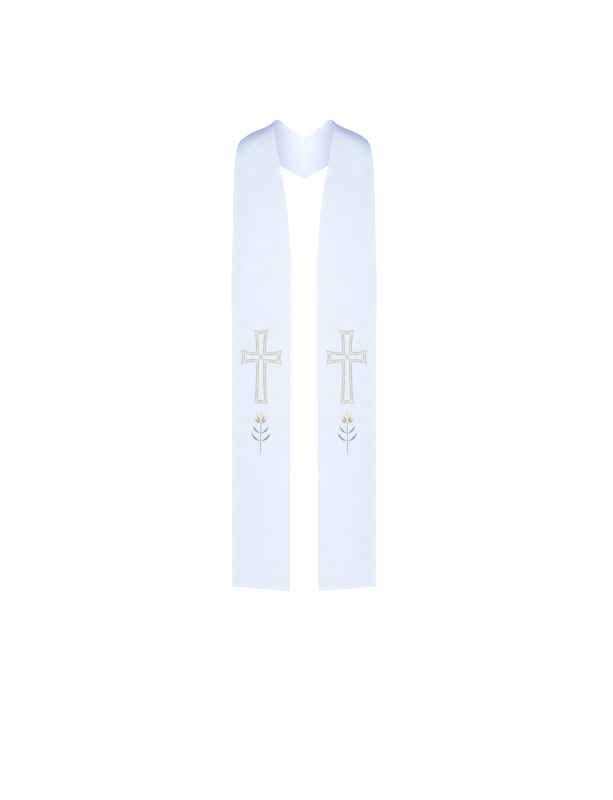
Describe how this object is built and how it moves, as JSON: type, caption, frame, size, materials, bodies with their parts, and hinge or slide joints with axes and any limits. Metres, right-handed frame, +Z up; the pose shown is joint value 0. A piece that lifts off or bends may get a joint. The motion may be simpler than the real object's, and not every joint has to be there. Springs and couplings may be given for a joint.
{
  "type": "clerical stole",
  "caption": "Long white band of stiffened cloth worn round the neck and over the shoulders, hanging down the front in matching panels with an embroidered cross on each.",
  "frame": {"origin": "On the body side of the cloth at the nape, where the centre-back seam meets the neck edge and the wearer's collar carries the band.", "axes": "+Z up, -Y towards the wearer's front where the panels hang, +X towards the wearer's left."},
  "size_m": [0.3646, 0.2421, 1.1729],
  "materials": {
    "white_cloth": "matte, smooth, close gabardine weave",
    "gold_thread": "silky satin-stitch embroidery thread, champagne and cream with tan outlines",
    "green_thread": "silky satin-stitch embroidery thread, grey teal with a mauve grey stem"
  },
  "bodies": {
    "root": {"stole_half_left": "white_cloth", "stole_half_right": "white_cloth"}
  },
  "joints": []
}
